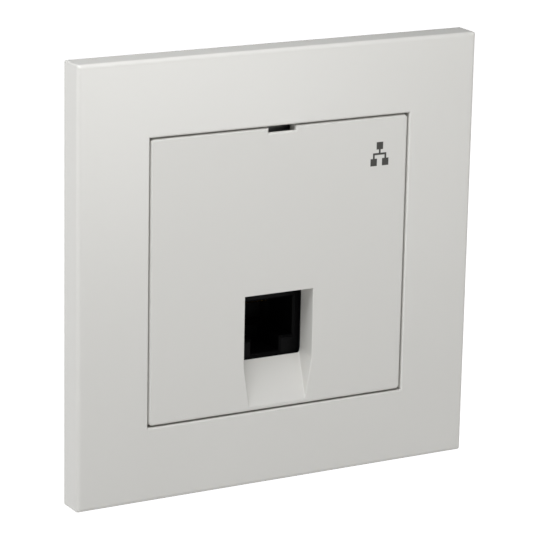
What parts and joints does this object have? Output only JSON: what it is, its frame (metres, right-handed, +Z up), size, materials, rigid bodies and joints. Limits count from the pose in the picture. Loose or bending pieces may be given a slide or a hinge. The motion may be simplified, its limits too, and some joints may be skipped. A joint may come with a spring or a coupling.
{
  "type": "ethernet wall socket",
  "caption": "Square flush wall socket for a network cable: white frame and centre plate with a sloped chute to a black modular jack, on a steel mounting plate.",
  "frame": {"origin": "centre of the socket on the wall's surface", "axes": "+X to the right as seen from the room, +Y into the wall, +Z up"},
  "size_m": [0.0848, 0.0347, 0.0848],
  "materials": {
    "white_plastic": "satin white moulding",
    "zinc_steel": "zinc plated",
    "black_plastic": "matt black moulding",
    "contact_metal": "gold plated spring wire",
    "fork_metal": "tin plated",
    "board_laminate": "green lacquered laminate",
    "terminal_plastic": "matt dark grey moulding"
  },
  "bodies": {
    "root": {"frame": "white_plastic", "centre_plate": "white_plastic", "mounting_plate": "zinc_steel", "module_carrier": "black_plastic", "carrier_screws": "zinc_steel", "jack_housing": "black_plastic", "contact_comb": "black_plastic", "circuit_board": "board_laminate", "idc_block": "terminal_plastic", "wire_cap": "terminal_plastic", "spring_contact_1": "contact_metal", "spring_contact_2": "contact_metal", "spring_contact_3": "contact_metal", "spring_contact_4": "contact_metal", "spring_contact_5": "contact_metal", "spring_contact_6": "contact_metal", "spring_contact_7": "contact_metal", "spring_contact_8": "contact_metal", "idc_contact_1": "fork_metal", "idc_contact_2": "fork_metal", "idc_contact_3": "fork_metal", "idc_contact_4": "fork_metal", "idc_contact_5": "fork_metal", "idc_contact_6": "fork_metal", "idc_contact_7": "fork_metal", "idc_contact_8": "fork_metal"}
  },
  "joints": []
}
